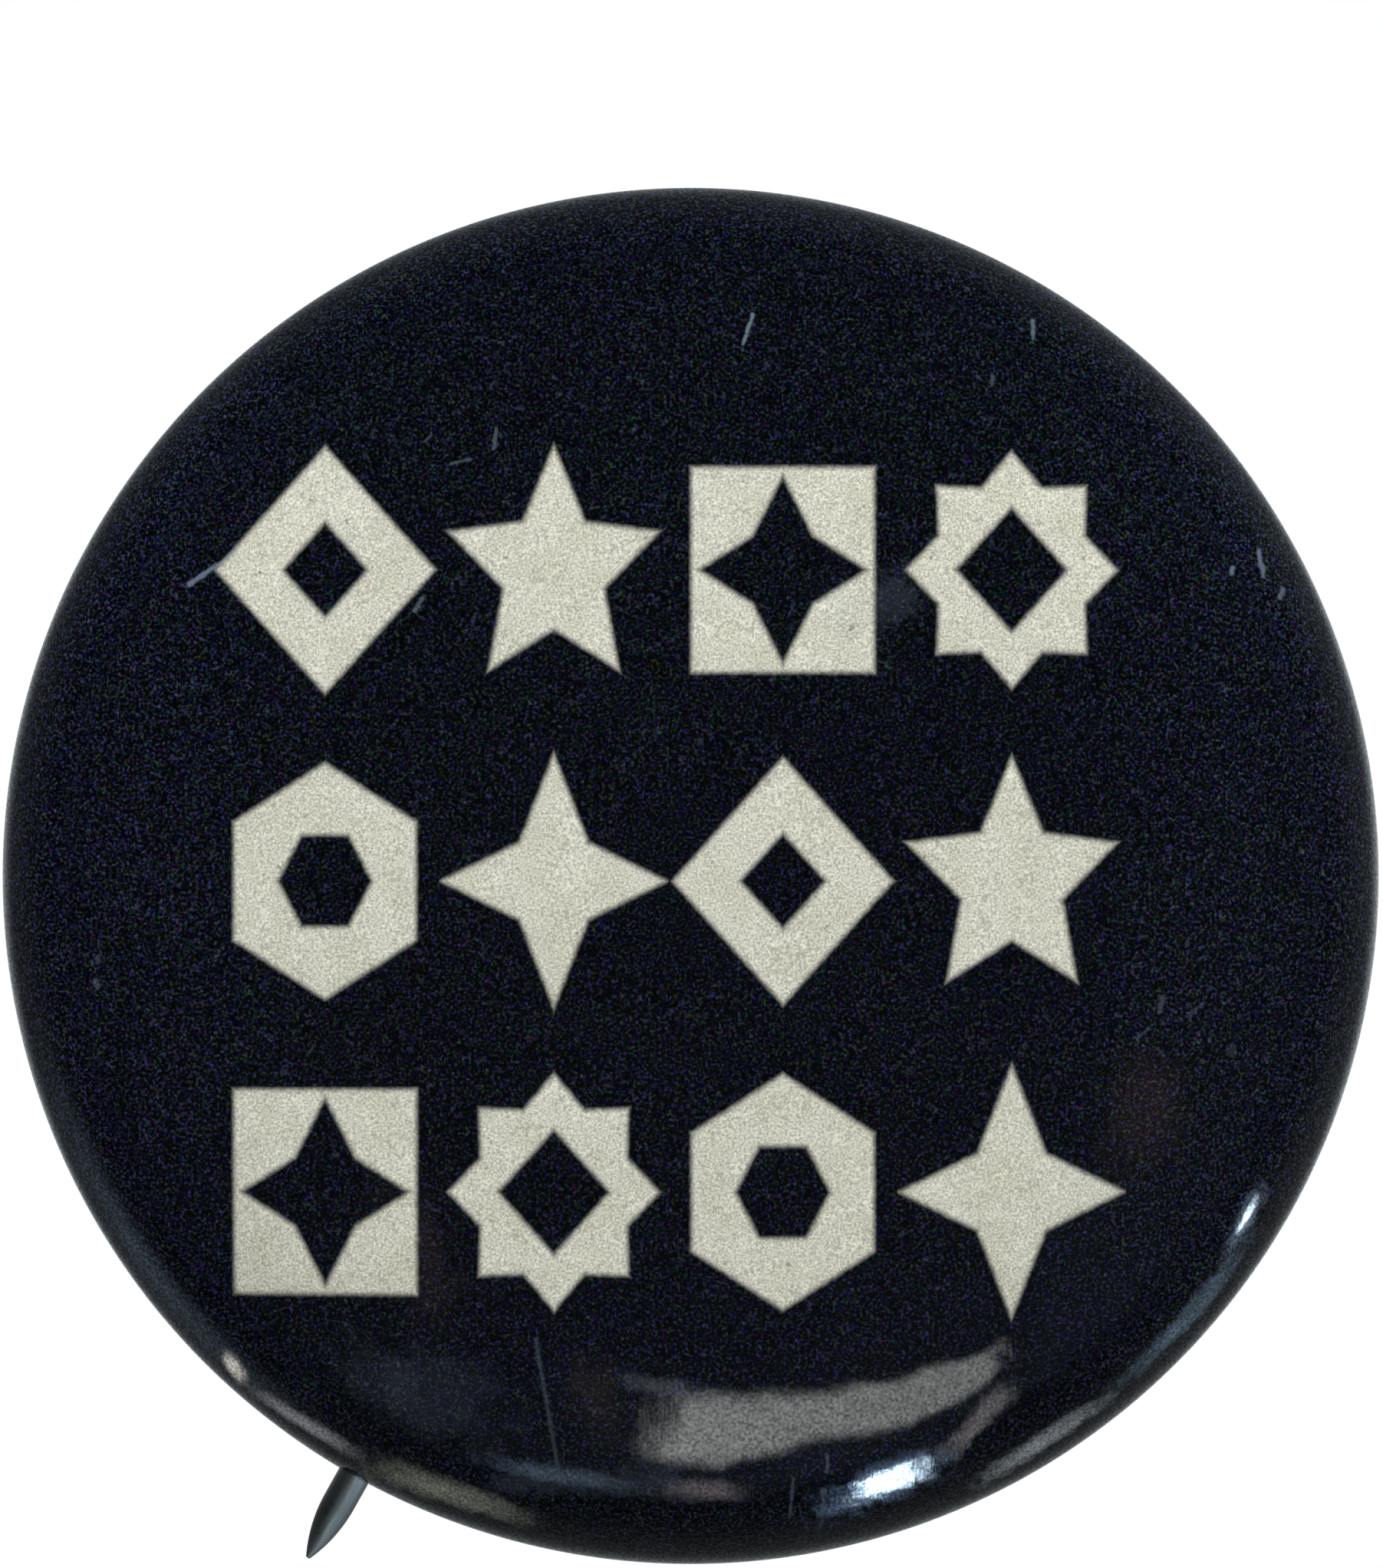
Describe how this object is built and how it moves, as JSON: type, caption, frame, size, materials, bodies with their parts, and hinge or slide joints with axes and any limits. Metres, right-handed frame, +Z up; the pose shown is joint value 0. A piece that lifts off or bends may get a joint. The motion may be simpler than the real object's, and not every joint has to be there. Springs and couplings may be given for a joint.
{
  "type": "button badge",
  "caption": "Round domed pin-back button badge in printed paper and clear film, with a sprung wire pin in its back.",
  "frame": {"origin": "where the closed pin's centre line crosses the badge's own axis, in the opening of the back", "axes": "+Y out of the back along the badge's axis, towards the cloth; the face looks along -Y; +Z up as worn; +X to the right as the face is seen"},
  "size_m": [0.0318, 0.0054, 0.0318],
  "materials": {
    "shell_metal": "dull tinplate",
    "printed_paper": "printed, matte",
    "clear_film": "gloss",
    "collet_metal": "satin tinplate",
    "spring_wire": "drawn wire"
  },
  "bodies": {
    "badge": {"shell": "shell_metal", "printed_paper": "printed_paper", "clear_film": "clear_film", "collet": "collet_metal"},
    "wire_ring": {"pin_ring": "spring_wire"},
    "arm": {"pin_arm": "spring_wire"}
  },
  "joints": [
    {"name": "pin_turn", "type": "hinge", "parent": "badge", "child": "wire_ring", "pos_m": [0, 0, 0], "axis": [0, 1, 0], "continuous": true},
    {"name": "pin_flex", "type": "hinge", "parent": "wire_ring", "child": "arm", "pos_m": [0.00519, -0.00054, 0.00924], "axis": [0.8721, 0, -0.4894], "range_deg": [0, 30], "stiffness_Nm_per_rad": 0.1, "springref_deg": -5.73}
  ]
}
